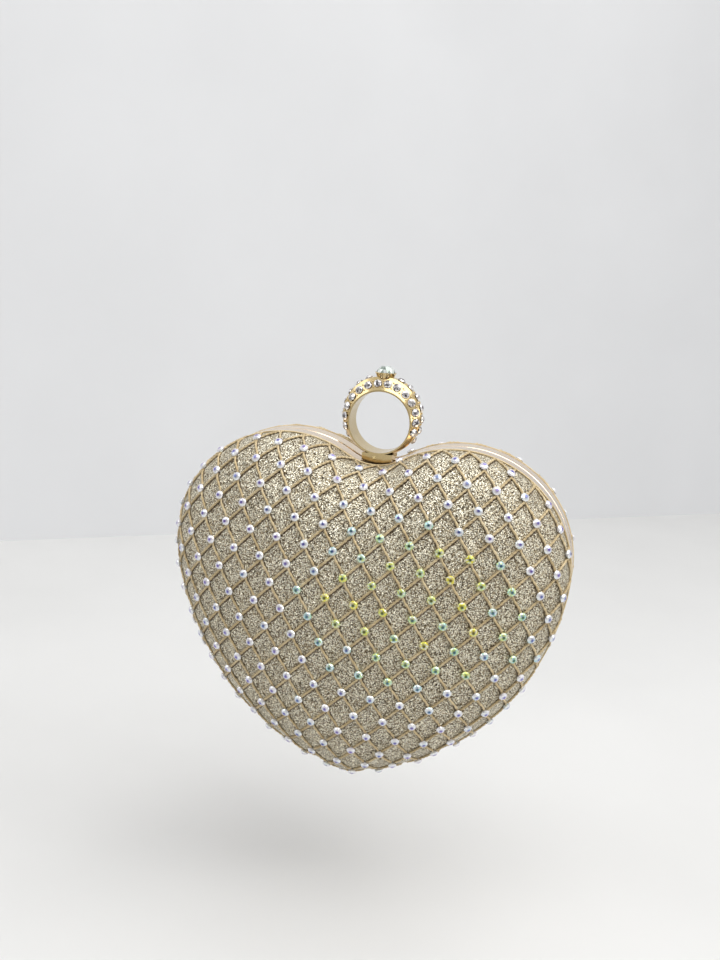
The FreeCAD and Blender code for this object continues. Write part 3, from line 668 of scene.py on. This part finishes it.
def stone_places(node):
    """Foot centre and outward direction of every packed crystal in a node."""
    bm = bmesh.new()
    bm.from_mesh(nodes[node].data)
    bmesh.ops.remove_doubles(bm, verts=bm.verts, dist=SAME_POINT)
    places, seen = [], set()
    for start in bm.verts:
        if start in seen:
            continue
        solid, waiting = {start}, [start]
        while waiting:
            vert = waiting.pop()
            for other in (e.other_vert(vert) for e in vert.link_edges):
                if other not in solid:
                    solid.add(other)
                    waiting.append(other)
        seen |= solid
        points = np.array([vert.co for vert in solid])
        middle = points.mean(axis=0)
        axis = np.linalg.svd(points - middle)[2][2]
        heights = (points - middle) @ axis
        widths = np.linalg.norm(points - middle - np.outer(heights, axis), axis=1)
        if heights @ (widths - widths.mean()) > 0:
            axis, heights = -axis, -heights
        places.append((Vector(middle + axis * heights.min()), Vector(axis)))
    bm.free()
    return sorted(places, key=lambda place: tuple(round(x, 5) for x in place[0]))


net_places = {half: stone_places(f"{half}_crystals") for half in HALVES}
print("net crystals:", {half: len(places) for half, places in net_places.items()})

# %% Stones as hulls, set in their places
FLAT_ANGLE = math.radians(1)    # triangles that bend less than this are one facet
TINT_SPREAD = 0.16              # how far the tints of one stone's facets differ from the stone's own
chance = random.Random(14)


def facet_rings(rings):
    """Stone as the hull over rings of (radius, height, sides, turned by half a step or not)."""
    bm = bmesh.new()
    for radius, height, sides, turned in rings:
        place = Matrix.Translation((0, 0, height)) @ Matrix.Rotation(math.pi / sides if turned else 0, 4, "Z")
        bmesh.ops.create_circle(bm, segments=sides, radius=radius, matrix=place)
    bmesh.ops.convex_hull(bm, input=bm.verts)
    bmesh.ops.dissolve_limit(bm, angle_limit=FLAT_ANGLE, verts=bm.verts, edges=bm.edges)
    bmesh.ops.recalc_face_normals(bm, faces=bm.faces)
    return to_mesh(bm, "stone_pattern", False)


def set_stones(name, pattern, places, tints):
    """One mesh of a stone pattern set at many places.

    Each facet keeps a tint near its stone's and a glint of its own. Each point keeps how near it is to the
    table: 0 up to half the stone's height, and 1 on the table.
    """
    bm = bmesh.new()
    tint = bm.faces.layers.float.new("tint")
    glint = bm.faces.layers.float.new("glint")
    table = bm.verts.layers.float.new("table")
    top = max(vert.co.z for vert in pattern.vertices)
    for (foot, outward), value in zip(places, tints):
        first_vert, first_face = len(bm.verts), len(bm.faces)
        bm.from_mesh(pattern)
        bm.verts.ensure_lookup_table()
        bm.faces.ensure_lookup_table()
        fresh = bm.verts[first_vert:]
        for vert in fresh:
            vert[table] = max(0, 2 * vert.co.z / top - 1)
        for face in bm.faces[first_face:]:
            face[tint] = min(1, max(0, value + chance.uniform(-TINT_SPREAD, TINT_SPREAD)))
            face[glint] = chance.random()
        turn = outward.to_track_quat("Z", "Y") @ Quaternion((0, 0, 1), chance.uniform(0, 1))
        bmesh.ops.transform(bm, matrix=Matrix.Translation(foot) @ turn.to_matrix().to_4x4(), verts=fresh)
    return to_mesh(bm, name, False)


print("facets differ from their stone's tint by up to", TINT_SPREAD)

# %% Coated crystal finish
# the table's darker tone is a painted dark reflection, tinted by the coating
TABLE_EDGE = 5.0                # the higher, the harder the edge of a table's darker tone
SPARK = (0.4, 0.9)              # glints between which a facet turns from its tint towards white
SPARK_MOST = 0.85
coated, tree, shader = new_finish(
    "coated_crystal", Metallic=0.35, Roughness=0.05, IOR=1.7, Coat_Weight=1.0, Coat_Roughness=0.02,
    Thin_Film_Thickness=430.0, Thin_Film_IOR=1.35)
tint = kept_value(tree, "tint")
# painted dark reflection in each table, tinted by the coating
table_reflection = ramp_node(tree, tint, (
    (0.0, linear(124, 92, 172)),
    (0.25, linear(92, 84, 168)),
    (0.5, linear(44, 92, 128)),
    (0.75, linear(52, 82, 44)),
    (1.0, linear(88, 72, 20)),
))
# painted reflections on the crown facets: pale, tinted by the coating
edge = ramp_node(tree, tint, (
    (0.0, linear(252, 246, 252)),
    (0.35, linear(244, 246, 250)),
    (0.5, linear(176, 222, 234)),
    (0.65, linear(202, 240, 176)),
    (0.8, linear(236, 242, 112)),
    (1.0, linear(255, 236, 84)),
))
# painted glints: facets with a high glint turn towards white
spark = range_node(tree, kept_value(tree, "glint"), *SPARK, 0.0, SPARK_MOST)
pale = mix_node(tree, spark, edge, (1, 1, 1, 1))
near_table = math_node(tree, "POWER", kept_value(tree, "table"), TABLE_EDGE)
tree.links.new(mix_node(tree, near_table, pale, table_reflection), shader["Base Color"])
print("finish:", coated.name)

# %% Crystals of the net
WARM_X, WARM_Z = 24 * MM, -64 * MM      # middle of the warm tints, and how far they reach
WARM_REACH_X, WARM_REACH_Z = 42 * MM, 32 * MM
WARM_LEAST = 0.4                        # weakest warm tint of a stone in the middle of them
STRAY_TINT = 0.3
# radius, height, sides and turn of each ring
net_stone = facet_rings((
    (1.2 * MM, 0.0, 12, False),
    (1.7 * MM, 0.85 * MM, 12, False),
    (1.3 * MM, 1.4 * MM, 12, True),
    (0.42 * MM, 1.75 * MM, 8, False),
))


def coating_tint(foot):
    """Tint of one stone's painted reflections, set by place as coating and light colour them: warm and green
    right of the middle, pale and lilac elsewhere.
    """
    aside, above = (foot.x - WARM_X) / WARM_REACH_X, (foot.z - WARM_Z) / WARM_REACH_Z
    warm = math.exp(-(aside ** 2 + above ** 2) ** 2)
    return min(1, max(0, warm * chance.uniform(WARM_LEAST, 1.0) + chance.uniform(0, STRAY_TINT)))


for half, places in net_places.items():
    tints = [coating_tint(place[0]) for place in places]
    mesh = set_stones(f"{half}_net_crystals", net_stone, places, tints)
    piece = show(mesh, f"{half}_net_crystals", f"{half}_half", coated)
    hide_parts(f"{half}_crystals")
    print(piece.name, len(mesh.polygons), "facets")

# %% [markdown]
# ## Polished metal
# The frames are a pale champagne gold and the ring a yellower one. A plain metallic finish would do from
# afar, but close up it looks too clean. Both were polished along their length, so fine drawn lines run with
# the seam, and handling has dulled them in patches.

# %% Metal finishes
METAL_PATCH = 9 * MM
LINE_STRENGTH = 0.35


def metal(name, pale, deep, least, most, line_depth):
    """Polished metal between two tones, with drawn lines and dulled patches."""
    finish, tree, shader = new_finish(name, Metallic=1.0)
    lines = use_group(tree, drawn_lines, Along=30.0, Across=5200.0)
    tree.links.new(mix_node(tree, lines["Height"], (*deep, 1), (*pale, 1)), shader["Base Color"])
    dull(tree, shader, METAL_PATCH, least, most)
    emboss(tree, shader, lines["Height"], LINE_STRENGTH, line_depth)
    return finish


# paler and deeper tone, least and most roughness, and depth of the drawn lines
frame_gold = metal("champagne_gold", linear(246, 230, 208), linear(228, 206, 180), 0.12, 0.24, 0.02 * MM)
ring_gold = metal("ring_gold", linear(226, 208, 166), linear(204, 176, 118), 0.1, 0.2, 0.005 * MM)
steel = metal("spring_steel", linear(196, 198, 202), linear(150, 152, 158), 0.18, 0.32, 0.01 * MM)
METAL_NODES = {
    frame_gold: (
        "back_frame", "back_hinge_leaf", "back_hinge_rivets", "hinge_pin",
        "clasp_lug", "clasp_pin", "latch_rivets",
        "front_frame", "front_hinge_leaf", "front_hinge_rivets", "catch_plate", "catch_rivets",
    ),
    ring_gold: ("finger_ring", "ring_foot", "solitaire_collet"),
    steel: ("latch_spring",),
}
for finish, names in METAL_NODES.items():
    for name in names:
        dress(nodes[name].data, finish)
print("metal on", sum(len(names) for names in METAL_NODES.values()), "packed nodes")

# %% [markdown]
# ## Moulded bowls and satin lining
# Behind the cloth each half is a moulded bowl, of which only the lip shows when the case opens. Inside it is
# a satin lining. Flat cloth doesn't fit a bowl, so it is tucked below the lip. A cloth simulation could find
# such tucks, but this satin is glued down, so rings of the lining are pushed in by turns and stay where the
# packed lining lies. Uneven threads run across it, which a noise stretched along x gives.

# %% Bowl and satin finishes
SPECKS = 700.0                          # specks of the plastic per metre
THREADS = (120.0, 1300.0, 2400.0)       # threads of the satin per metre, along x, y and z
plastic, tree, shader = new_finish("moulded_plastic", IOR=1.5)
speck = noise_node(tree, own_place(tree), SPECKS, detail=3.0)
tree.links.new(two_tones(tree, speck, linear(206, 196, 176), linear(228, 220, 202)), shader["Base Color"])
dull(tree, shader, size=6 * MM, least=0.4, most=0.55)
for half in HALVES:
    dress(nodes[f"{half}_shell"].data, plastic)

satin, tree, shader = new_finish("satin_lining", Sheen_Weight=0.4, Sheen_Roughness=0.3, Anisotropic=0.5)
weft = vector_node(tree, "MULTIPLY", own_place(tree), THREADS)
threads = noise_node(tree, weft, scale=1.0, detail=4.0)
tree.links.new(two_tones(tree, threads, linear(200, 176, 136), linear(224, 203, 164)), shader["Base Color"])
dull(tree, shader, size=15 * MM, least=0.24, most=0.4)
emboss(tree, shader, threads, strength=0.4, distance=0.04 * MM)
print("finishes:", plastic.name, satin.name)

# %% Satin lining in each half
LINING_INSET = 3.7 * MM
LINING_EDGE_INSET = 2.75 * MM
LINING_LIP_Y = 6.3 * MM
LINING_DEPTH = 25.2 * MM
SATIN_THICKNESS = 0.3 * MM
TUCK = 3.0 * MM                 # depth of the deepest tuck
SHALLOWEST = 0.2                # depth of the shallowest, as a share of that
TUCK_RINGS = 16                 # rings below the lip that the tucks cover
TUCK_POINTS = 3                 # points of the outline for one tuck
TUCK_SPACING = 4 * MM           # where the points lie closer than this, tucks are shallower


def tucked(ring, number, depths):
    """Ring pushed towards the crown in tucks, which are deepest halfway down the tucked rings."""
    swell = TUCK * math.sin(math.pi * min(1, number / TUCK_RINGS))
    moved = []
    for k, point in enumerate(ring):
        inward = (Vector((0, point.y, CROWN_Z)) - point).normalized()
        wave = 0.5 + 0.5 * math.sin(2 * math.pi * k / TUCK_POINTS)
        crowding = min(1, (point - ring[k - 1]).length / TUCK_SPACING) ** 2
        moved.append(point + inward * swell * wave * crowding * depths[k // TUCK_POINTS])
    return moved


def make_lining(half, side):
    lip = [outline(1, inset, side * LINING_LIP_Y) for inset in (LINING_EDGE_INSET, LINING_INSET)]
    bowl = dome_rings(LINING_INSET, LINING_DEPTH, side)
    uneven = random.Random(5)
    depths = [uneven.uniform(SHALLOWEST, 1) for _ in range(sum(ARC_STEPS) // TUCK_POINTS)]
    rings = lip + [tucked(ring, number, depths) for number, ring in enumerate(bowl)]
    crown = Vector((0, side * (RIM_Y + LINING_DEPTH), CROWN_Z))
    bm = skin(rings, crown, Vector((0, -side, 0)))
    piece = show(to_mesh(bm, f"{half}_satin_lining", True), f"{half}_satin_lining", f"{half}_half",
                 satin)
    thicken(piece, "satin", SATIN_THICKNESS)
    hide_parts(f"{half}_lining")
    return piece


linings = [make_lining(half, side) for half, side in HALVES.items()]
print("linings:", [len(piece.data.polygons) for piece in linings], "faces")

# %% [markdown]
# ## Piping round the cloth
# Where the cloth meets the frame, a thin twisted cord hides the cut edge. A plain tube would do from afar,
# but the twist shows as a row of bright dots. It is one run round the heart on each half, twisted like the
# net, and its two ends meet at the tip, where the join shows least.

# %% Piping
PIPING_RADIUS = 0.55 * MM
PIPING_INSET = 0.1 * MM
PIPING_LIFT = 0.55 * MM
PIPING_LAY = 3.0 * MM
TIP_PLACE = sum(ARC_STEPS[:3]) + ARC_STEPS[3] // 2
for half, side in HALVES.items():
    ring = outline(1, PIPING_INSET, side * (RIM_Y + PIPING_LIFT))
    run = ring[TIP_PLACE:] + ring[:TIP_PLACE + 1]
    length = run_length(run)
    mesh = twisted_mesh(f"{half}_piping", [run], PIPING_RADIUS, length / round(length / PIPING_LAY))
    show(mesh, f"{half}_piping", f"{half}_half", cord_finish)
    print(f"{half}_piping:", round(length, 3), "m,", len(mesh.polygons), "faces")

# %% [markdown]
# ## The ring's stones
# Three rows of clear crystals go over the ring, and one large brilliant sits on top in its cup. Small gold
# beads, raised from the metal, hold the rows. The stones are hulls over rings again. True glass needs many
# bounces of light before it sparkles, so here the sparkle is painted: each facet gets a tone from dark to
# white by its glint, as painted highlights and painted shade, and each small stone's table a painted dark
# reflection, all under a clear coat.

# %% Clear crystal finish and the rows
clear, tree, shader = new_finish(
    "clear_crystal", Metallic=0.5, Roughness=0.04, IOR=1.7, Coat_Weight=1.0, Coat_Roughness=0.02)
# painted highlights and painted shade: each facet's tone from dark to white by its glint
edge = ramp_node(tree, kept_value(tree, "glint"), (
    (0.0, linear(74, 66, 72)),
    (0.25, linear(132, 124, 128)),
    (0.45, linear(236, 234, 236)),
    (1.0, linear(255, 254, 250)),
))
# painted dark reflection in each table
depth = ramp_node(tree, kept_value(tree, "tint"), ((0.0, linear(48, 44, 52)), (1.0, linear(176, 172, 168))))
near_table = math_node(tree, "POWER", kept_value(tree, "table"), TABLE_EDGE)
tree.links.new(mix_node(tree, near_table, edge, depth), shader["Base Color"])
ring_stone = facet_rings((
    (1.4 * MM, 0.0, 12, False),
    (1.7 * MM, 0.3 * MM, 12, False),
    (1.3 * MM, 0.8 * MM, 12, True),
    (0.5 * MM, 1.15 * MM, 6, False),
))
ROWS = ("front", "crest", "back")
row_places = {row: stone_places(f"ring_{row}_crystals") for row in ROWS}
for row, places in row_places.items():
    mesh = set_stones(f"ring_{row}_stones", ring_stone, places, [chance.random() for _ in places])
    piece = show(mesh, f"ring_{row}_stones", "ring_lever", clear)
    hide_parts(f"ring_{row}_crystals")
print("ring rows:", {row: len(places) for row, places in row_places.items()})

# %% Holding beads
BEAD_RADIUS = 0.34 * MM
BEAD_SPREAD = 1.3 * MM          # from the middle of the row
BEAD_LIFT = 0.1 * MM
WIDEST_STEP = 6 * MM            # stones further apart than this aren't neighbours


def row_order(places):
    """Stones of a row in order round the ring."""
    return sorted(places, key=lambda place: math.atan2(place[0].x, place[0].z))


def make_beads(row):
    """Pairs of beads between neighbouring stones of a row."""
    bm = bmesh.new()
    ordered = row_order(row_places[row])
    for (foot, outward), (next_foot, next_outward) in zip(ordered, ordered[1:]):
        if (next_foot - foot).length > WIDEST_STEP:
            continue
        middle = (foot + next_foot) / 2
        normal = (outward + next_outward).normalized()
        across = normal.cross(next_foot - foot).normalized()
        for sign in (-1, 1):
            spot = Matrix.Translation(middle + across * sign * BEAD_SPREAD + normal * BEAD_LIFT)
            bmesh.ops.create_icosphere(bm, subdivisions=2, radius=BEAD_RADIUS, matrix=spot)
    mesh = to_mesh(bm, f"ring_{row}_beads", True)
    return show(mesh, f"ring_{row}_beads", "ring_lever", ring_gold)


beads = [make_beads(row) for row in ROWS]
print("beads:", [len(piece.data.polygons) for piece in beads], "faces")

# %% The large brilliant
glass, tree, shader = new_finish("brilliant", Metallic=0.5, Roughness=0.02, IOR=1.65, Coat_Weight=1.0)
# painted highlights and painted shade: each facet's tone from grey-green to white by its glint
facet = ramp_node(tree, kept_value(tree, "glint"), (
    (0.0, linear(112, 126, 116)),
    (0.4, linear(178, 192, 182)),
    (0.7, linear(222, 232, 226)),
    (1.0, linear(246, 250, 247)),
))
tree.links.new(facet, shader["Base Color"])
BRILLIANT_RISE = 0.7 * MM       # the cut stone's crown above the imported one
GEM_EDGE = 0.1 * MM             # half the height of its edge, which lies level with the cup's rim
GEM_SHOULDER = 1.3 * MM         # height above the cup at which its crown bends
gem_low, gem_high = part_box("solitaire_crystal")
gem_radius = (gem_high.x - gem_low.x) / 2
collet_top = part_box("solitaire_collet")[1].z
brilliant_cut = facet_rings((
    (0.5 * MM, gem_low.z, 8, False),
    (gem_radius, collet_top - GEM_EDGE, 16, False),
    (gem_radius, collet_top + GEM_EDGE, 16, False),
    (gem_radius * 0.84, collet_top + GEM_SHOULDER, 16, True),
    (gem_radius * 0.55, gem_high.z + BRILLIANT_RISE, 8, False),
))
upright = (Vector((0, 0, 0)), Vector((0, 0, 1)))
brilliant = set_stones("solitaire_brilliant", brilliant_cut, [upright], [0.5])
piece = show(brilliant, "solitaire_brilliant", "ring_lever", glass)
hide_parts("solitaire_crystal")
print("brilliant:", len(brilliant.polygons), "facets")

# %% [markdown]
# ## Stage, light and camera
# A pale floor meets a pale wall behind the case. The floor lies below the tip, so that the front half has
# room when it swings down. A broad soft light hangs overhead, with a weaker one at the left and a narrow one
# at the right that draws the bright line along the frame. The camera stands where the photograph was taken
# from: its position, its turn about the upright axis, its dip and its lean are named.

# %% Floor and wall
FLOOR_DROP = 52 * MM            # the opened front half reaches about 50 mm below the tip
FLOOR_Z = cad_low.z - FLOOR_DROP
STAGE_TURN = math.radians(38)
STAGE_REACH = 2.5
FLOOR_FRONT_Y = -2.0
WALL_Y = 0.561
WALL_TOP_Z = 2.0
MOTTLE = 0.95                   # tone of the darker patches, as a share of the paler ones
MOTTLE_SCALE = 6.0              # patches per metre


def pale_strip(name, profile, colour, glow):
    """Strip of stage from a line of (y, z) points, in a pale tone with a faint mottle and a little glow."""
    finish, tree, shader = new_finish(
        name, Roughness=0.5, Emission_Color=(1, 1, 1, 1), Emission_Strength=glow)
    patches = noise_node(tree, own_place(tree), MOTTLE_SCALE, detail=3.0)
    darker = tuple(MOTTLE * share for share in colour)
    tree.links.new(two_tones(tree, patches, darker, colour), shader["Base Color"])
    bm = bmesh.new()
    line = [bm.verts.new((-STAGE_REACH, y, z)) for y, z in profile]
    edges = [bm.edges.new(pair) for pair in zip(line, line[1:])]
    made = bmesh.ops.extrude_edge_only(bm, edges=edges)["geom"]
    far = [v for v in made if isinstance(v, bmesh.types.BMVert)]
    bmesh.ops.translate(bm, vec=(2 * STAGE_REACH, 0, 0), verts=far)
    bmesh.ops.rotate(bm, cent=(0, 0, 0), matrix=Matrix.Rotation(STAGE_TURN, 3, "Z"), verts=bm.verts)
    bmesh.ops.recalc_face_normals(bm, faces=bm.faces)
    strip = bpy.data.objects.new(name, to_mesh(bm, name, False))
    dress(strip.data, finish)
    bpy.context.scene.collection.objects.link(strip)
    return strip


strips = [
    pale_strip("pale_floor", ((FLOOR_FRONT_Y, FLOOR_Z), (WALL_Y, FLOOR_Z)), linear(222, 222, 221), glow=0.0),
    pale_strip("pale_wall", ((WALL_Y, FLOOR_Z), (WALL_Y, WALL_TOP_Z)), linear(212, 213, 215), glow=0.14),
]
print("stage:", [strip.name for strip in strips], "floor at", round(FLOOR_Z / MM, 1), "mm")

# %% Lights and surroundings
LIGHT_TARGET = (0, 0, -0.06)
ROOM_STRENGTH = 0.95
DARK_SIDE = (-0.95, -0.3)       # y of the directions between which the room brightens, from the viewer's side
DARKEST = 0.15


def soft_light(name, place, size, power, colour=(1, 1, 1)):
    """Soft light of a width and a height, in metres, that looks at the case."""
    lamp = bpy.data.lights.new(name, "AREA")
    lamp.shape, lamp.size, lamp.size_y = "RECTANGLE", size[0], size[1]
    lamp.energy, lamp.color = power, colour
    holder = bpy.data.objects.new(name, lamp)
    holder.location = place
    holder.rotation_euler = (Vector(LIGHT_TARGET) - Vector(place)).to_track_quat("-Z", "Y").to_euler()
    bpy.context.scene.collection.objects.link(holder)
    return holder


# place, size, watts and colour
lights = [
    soft_light("overhead", (0.4, -0.2, 0.95), (1.3, 1.0), 9.4, (1.0, 0.99, 0.97)),
    soft_light("left_fill", (-0.95, -0.5, 0.6), (0.7, 0.7), 2.5),
    soft_light("right_strip", (0.75, -0.15, 0.3), (0.12, 0.7), 0.9),
]
world = bpy.data.worlds.new("pale_room")
bpy.context.scene.world = world
world.use_nodes = True
tree = world.node_tree
direction = add(tree, "ShaderNodeTexCoord").outputs["Generated"]
towards = add(tree, "ShaderNodeSeparateXYZ", {0: direction}).outputs
height = math_node(tree, "MULTIPLY_ADD", towards[2], 0.5, 0.5)
room = ramp_node(tree, height, ((0.3, (0.5, 0.5, 0.5)), (0.5, (0.35, 0.35, 0.36)), (0.8, (1.0, 1.0, 1.0))))
lit = range_node(tree, towards[1], *DARK_SIDE, DARKEST, 1.0)
background = tree.nodes["Background"].inputs
tree.links.new(mix_node(tree, lit, (0.02, 0.02, 0.025, 1), room), background["Color"])
background["Strength"].default_value = ROOM_STRENGTH
bpy.context.scene.view_settings.view_transform = "Standard"
print("lights:", [lamp.name for lamp in lights])

# %% Camera
CAMERA_PLACE = (83.6 * MM, -385.4 * MM, 54.5 * MM)
CAMERA_YAW, CAMERA_DIP, CAMERA_LEAN = (math.radians(a) for a in (-13.26, 11.29, 4.16))
LENS_MM, SENSOR_MM = 37.94, 36
eye = bpy.data.cameras.new("photo_view")
eye.lens, eye.sensor_width = LENS_MM, SENSOR_MM
camera = bpy.data.objects.new("photo_view", eye)
turn = (Matrix.Rotation(CAMERA_LEAN, 3, "Y") @ Matrix.Rotation(CAMERA_DIP, 3, "X")
        @ Matrix.Rotation(CAMERA_YAW, 3, "Z")).transposed()
look = turn @ Matrix.Rotation(math.pi / 2, 3, "X")
camera.matrix_world = Matrix.Translation(CAMERA_PLACE) @ look.to_4x4()
bpy.context.scene.collection.objects.link(camera)
bpy.context.scene.camera = camera
print("camera at", [round(x, 3) for x in camera.location])
